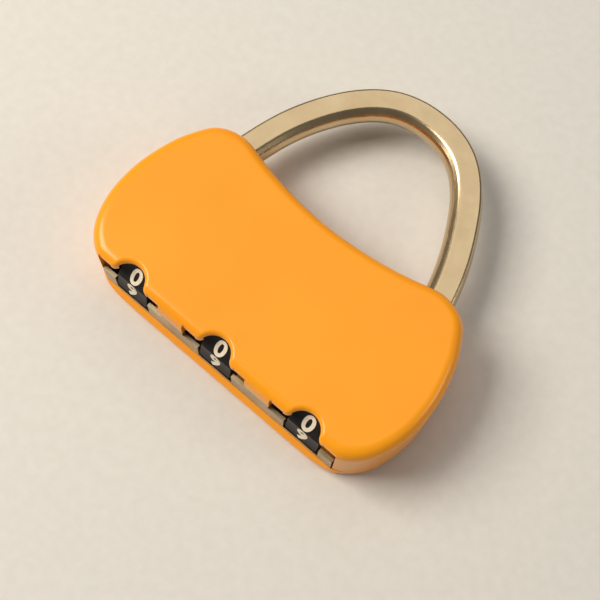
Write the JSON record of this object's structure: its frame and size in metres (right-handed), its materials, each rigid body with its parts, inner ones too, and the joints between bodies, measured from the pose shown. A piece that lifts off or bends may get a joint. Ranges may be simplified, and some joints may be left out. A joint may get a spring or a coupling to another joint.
{
  "type": "luggage combination padlock",
  "caption": "Handbag-shaped combination padlock for luggage: a hinged arch shackle on a slim lacquered case with numbered dials along its lower edge.",
  "frame": {"origin": "below the middle of the lock's overall length and width, on the back face", "axes": "+X along the case, +Y towards the shackle, +Z out of the front face"},
  "size_m": [0.0528, 0.0507, 0.0116],
  "materials": {
    "orange_lacquer": "glossy orange lacquer on zinc",
    "satin_nickel": "satin pale champagne nickel plating",
    "nickel_frame": "dull nickel-plated strip",
    "dark_frame": "zinc casting, blackened",
    "black_dial": "moulded black with cream figures",
    "turned_brass": "turned",
    "bright_steel": "turned and zinc plated",
    "spring_steel": "drawn wire and strip"
  },
  "bodies": {
    "case": {"front_cover": "orange_lacquer", "back_cover": "orange_lacquer", "lock_frame": "dark_frame", "frame_strip": "nickel_frame", "shackle_pin": "bright_steel", "shackle_washer_back": "bright_steel", "shackle_washer_front": "bright_steel", "latch_spring": "spring_steel", "reset_guide": "nickel_frame", "reset_spring": "spring_steel", "detent_spring_left": "spring_steel", "detent_spring_middle": "spring_steel", "detent_spring_right": "spring_steel", "case_screw_1": "bright_steel", "case_screw_2": "bright_steel", "case_screw_3": "bright_steel", "case_screw_4": "bright_steel"},
    "shackle": {"shackle": "satin_nickel"},
    "dial_left": {"dial_left": "black_dial", "sleeve_left": "black_dial"},
    "dial_middle": {"dial_middle": "black_dial", "sleeve_middle": "black_dial"},
    "dial_right": {"dial_right": "black_dial", "sleeve_right": "black_dial"},
    "latch": {"spindle": "turned_brass", "latch_plate": "bright_steel", "spindle_clip": "spring_steel"},
    "change_button": {"reset_button": "bright_steel"}
  },
  "joints": [
    {"name": "shackle_hinge", "type": "hinge", "parent": "case", "child": "shackle", "pos_m": [-0.0186, -0.0041, 0.0058], "axis": [0, 0, 1], "range_deg": [0, 35]},
    {"name": "dial_left_turn", "type": "hinge", "parent": "case", "child": "dial_left", "pos_m": [-0.0152, -0.0201, 0.0058], "axis": [1, 0, 0], "continuous": true},
    {"name": "dial_middle_turn", "type": "hinge", "parent": "case", "child": "dial_middle", "pos_m": [0, -0.0201, 0.0058], "axis": [1, 0, 0], "continuous": true},
    {"name": "dial_right_turn", "type": "hinge", "parent": "case", "child": "dial_right", "pos_m": [0.0152, -0.0201, 0.0058], "axis": [1, 0, 0], "continuous": true},
    {"name": "latch_slide", "type": "slide", "parent": "case", "child": "latch", "axis": [1, 0, 0], "range_m": [0, 0.0016], "stiffness_N_per_m": 60, "springref_m": -0.0004},
    {"name": "change_button_push", "type": "slide", "parent": "case", "child": "change_button", "axis": [0, -1, 0], "range_m": [0, 0.0008], "stiffness_N_per_m": 400, "springref_m": -0.0003}
  ]
}
